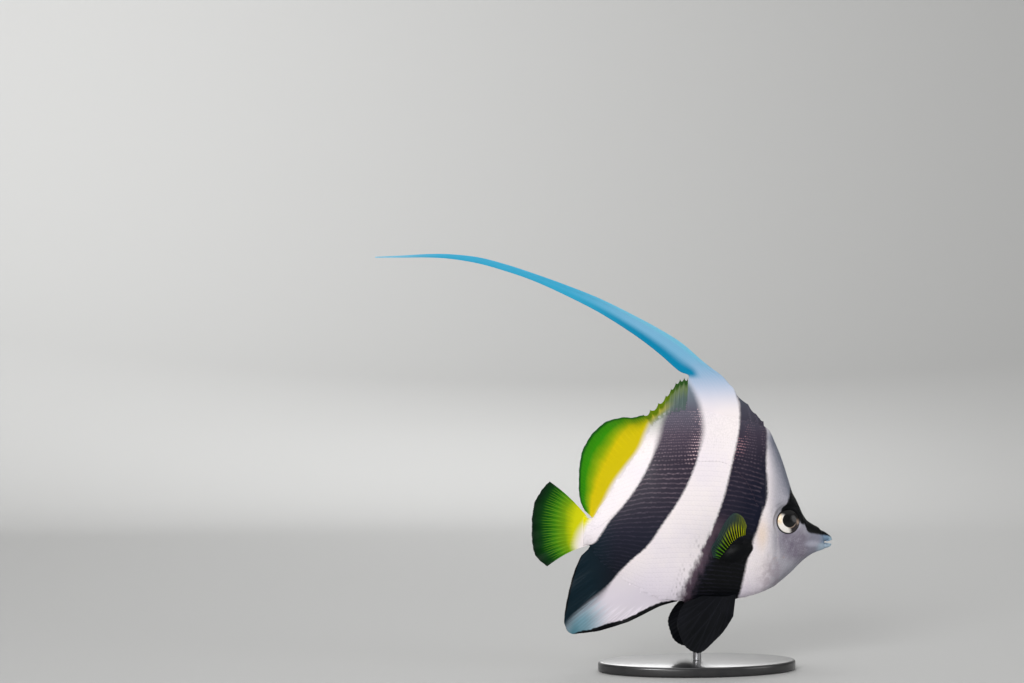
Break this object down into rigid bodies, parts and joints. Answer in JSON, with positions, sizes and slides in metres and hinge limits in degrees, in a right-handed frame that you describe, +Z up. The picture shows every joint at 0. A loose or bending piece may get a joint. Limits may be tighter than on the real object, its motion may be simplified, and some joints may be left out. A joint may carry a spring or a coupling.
{
  "type": "schooling bannerfish display model",
  "caption": "Life-size still model of a schooling bannerfish with banded flanks, spread fins and a long trailing dorsal streamer, held level on a flat base and rod.",
  "frame": {"origin": "centre of the underside of the stand's base, on the rod's axis", "axes": "+X towards the snout, +Y towards the fish's left side, +Z up"},
  "size_m": [0.2764, 0.0758, 0.249],
  "materials": {
    "head_skin": "pale grey cast resin painted as scaled skin, satin wet-look varnish",
    "lip_skin": "pale blue-grey painted resin, satin varnish",
    "eye": "silver-white iris and black pupil under a glossy clear dome",
    "body_skin": "pearl white with charcoal bands, small raised scales, satin varnish",
    "dark_fin": "blackish thin cast fin with fine raised rays",
    "banner": "pearl white running into sky blue, thin cast fin",
    "yellow_fin": "yellow thin cast fin, green towards its edge, fine raised rays",
    "clear_fin": "thin cast fin, yellow-green rays and a smoky membrane",
    "stand_base": "black lacquered base with a rounded edge",
    "stand_rod": "brushed steel rod"
  },
  "bodies": {
    "root": {"head": "head_skin", "upper_jaw": "lip_skin", "lower_jaw": "lip_skin", "eye_right": "eye", "eye_left": "eye", "torso": "body_skin", "tail_stalk": "body_skin", "dorsal_fin_front": "dark_fin", "banner_base": "banner", "banner_middle": "banner", "banner_tip": "banner", "dorsal_fin_rear_spines": "yellow_fin", "dorsal_fin_soft": "yellow_fin", "tail_fin": "yellow_fin", "anal_fin": "dark_fin", "pectoral_fin_right": "clear_fin", "pectoral_fin_left": "clear_fin", "pelvic_fin_right": "dark_fin", "pelvic_fin_left": "dark_fin", "stand_base": "stand_base", "stand_rod": "stand_rod"}
  },
  "joints": []
}
